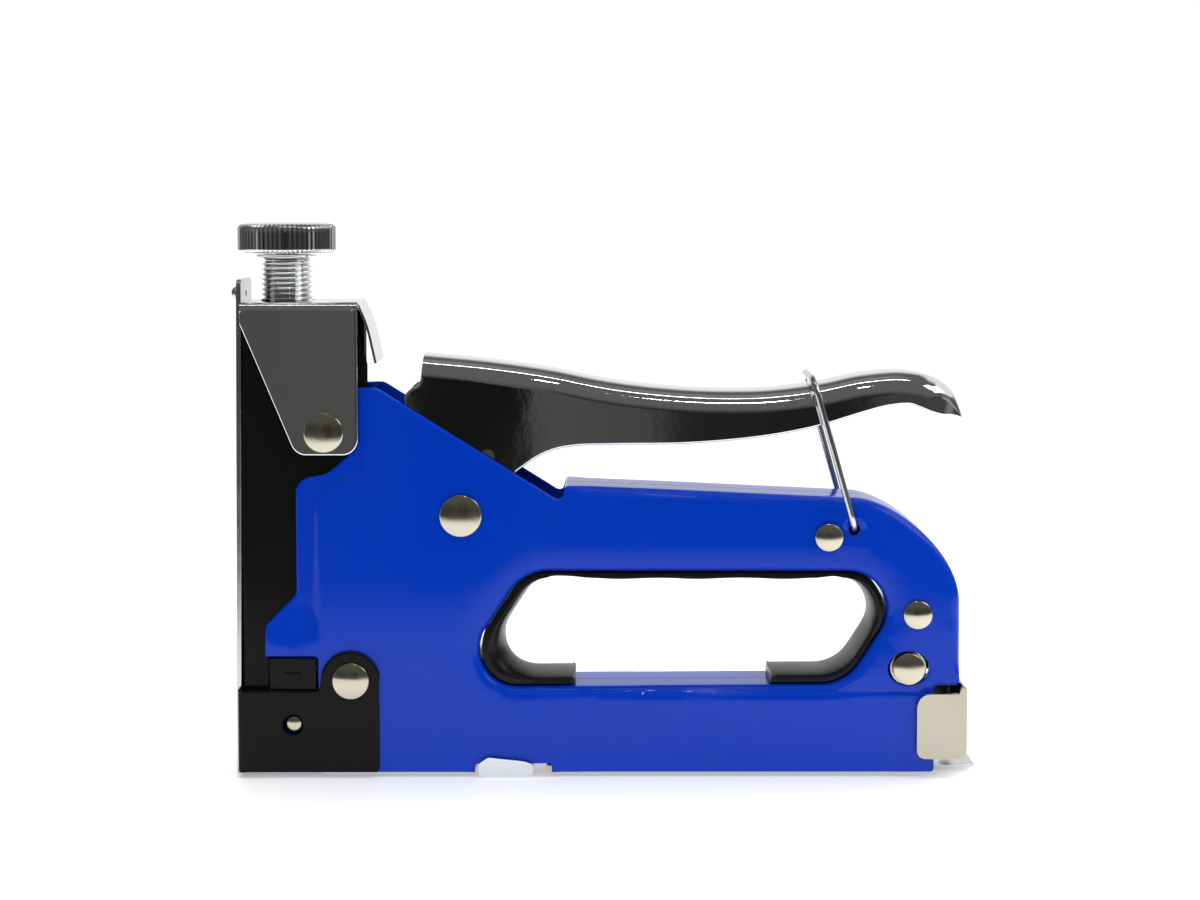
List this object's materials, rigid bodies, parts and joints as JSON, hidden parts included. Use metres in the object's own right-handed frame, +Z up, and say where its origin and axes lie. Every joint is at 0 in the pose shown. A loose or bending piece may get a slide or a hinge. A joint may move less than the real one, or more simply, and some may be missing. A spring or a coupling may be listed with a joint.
{
  "type": "staple gun",
  "caption": "Hand staple gun with a blue pressed-steel body, chromed lever, knurled force knob, wire bail and rear-loading magazine.",
  "frame": {"origin": "middle of the gun's length and width, at the face that meets the work", "axes": "+X towards the rear of the grip, the nose at -X; +Z up, out through the force knob; Y is the width"},
  "size_m": [0.1872, 0.0272, 0.138],
  "materials": {
    "blue_paint": "gloss cobalt blue paint",
    "black_paint": "semi-gloss black paint",
    "chrome": "bright chrome plate",
    "nickel": "warm bright nickel plate",
    "zinc": "bright zinc plate",
    "spring_steel": "oiled spring steel",
    "rubber": "satin moulded rubber",
    "black_plastic": "satin moulded plastic"
  },
  "bodies": {
    "gun_body": {"body_shell_left": "blue_paint", "body_shell_right": "blue_paint", "nose_channel": "black_paint", "front_plate": "zinc", "front_plate_screw": "zinc", "boot_plate_left": "black_paint", "boot_plate_right": "black_paint", "nose_pin": "zinc", "striker_bumper": "black_plastic", "cap_bracket": "chrome", "pivot_rivet": "nickel", "cap_rivet": "nickel", "boot_rivet": "nickel", "grip_rivet": "nickel", "rear_rivet_upper": "nickel", "rear_rivet_lower": "nickel", "rear_spacer": "nickel", "hand_hole_liner": "rubber", "threaded_bush": "zinc", "magazine_rail": "zinc", "staple_strip": "zinc", "selector_stop_left": "nickel", "selector_stop_right": "nickel"},
    "lever_body": {"lever": "chrome", "lifting_arm": "zinc", "arm_cross_pin": "zinc", "lever_return_spring": "spring_steel"},
    "striker_body": {"striker": "spring_steel", "driver_blade": "spring_steel"},
    "seat_body": {"spring_seat": "zinc", "main_spring": "spring_steel"},
    "knob_body": {"adjusting_knob": "chrome", "adjusting_screw": "chrome"},
    "bail_body": {"locking_bail": "zinc"},
    "drawer_body": {"magazine_drawer": "zinc", "guide_rod": "zinc", "pusher_spring": "spring_steel", "latch_pin": "zinc"},
    "pusher_body": {"pusher": "black_plastic"},
    "latch_body": {"drawer_latch": "nickel"},
    "selector_body": {"selector_slide": "chrome"}
  },
  "joints": [
    {"name": "lever_squeeze", "type": "hinge", "parent": "gun_body", "child": "lever_body", "pos_m": [-0.0356, 0, 0.0654], "axis": [0, 1, 0], "range_deg": [0, 9.5], "stiffness_Nm_per_rad": 1.5, "springref_deg": -20.05},
    {"name": "striker_lift", "type": "slide", "parent": "gun_body", "child": "striker_body", "axis": [0, 0, 1], "range_m": [0, 0.0072], "deforming": ["main_spring"]},
    {"name": "bail_swing", "type": "hinge", "parent": "gun_body", "child": "bail_body", "pos_m": [0.0623, 0, 0.0617], "axis": [0, 1, 0], "range_deg": [0, 118]},
    {"name": "adjuster_turn", "type": "hinge", "parent": "seat_body", "child": "knob_body", "pos_m": [-0.0796, 0, 0.13], "axis": [0, 0, 1], "range_deg": [-1730, 362]},
    {"name": "adjuster_feed", "type": "slide", "parent": "gun_body", "child": "seat_body", "axis": [0, 0, 1], "range_m": [-0.006, 0.00125]},
    {"name": "drawer_pull", "type": "slide", "parent": "gun_body", "child": "drawer_body", "axis": [1, 0, 0], "range_m": [0, 0.12]},
    {"name": "pusher_travel", "type": "slide", "parent": "drawer_body", "child": "pusher_body", "axis": [1, 0, 0], "range_m": [0, 0.08], "stiffness_N_per_m": 40, "springref_m": -0.03, "deforming": ["pusher_spring"]},
    {"name": "latch_tilt", "type": "hinge", "parent": "drawer_body", "child": "latch_body", "pos_m": [0.0865, 0, 0.0073], "axis": [0, 1, 0], "range_deg": [0, 12], "stiffness_Nm_per_rad": 0.05, "springref_deg": -11.46},
    {"name": "selector_shift", "type": "slide", "parent": "gun_body", "child": "selector_body", "axis": [1, 0, 0], "range_m": [0, 0.003]}
  ],
  "couplings": [
    {"joint": "striker_lift", "follows": "lever_squeeze", "m_per_rad": 0.039419},
    {"joint": "bail_swing", "follows": "lever_squeeze", "ratio": 12},
    {"joint": "adjuster_turn", "follows": "adjuster_feed", "rad_per_m": 5026.5}
  ]
}
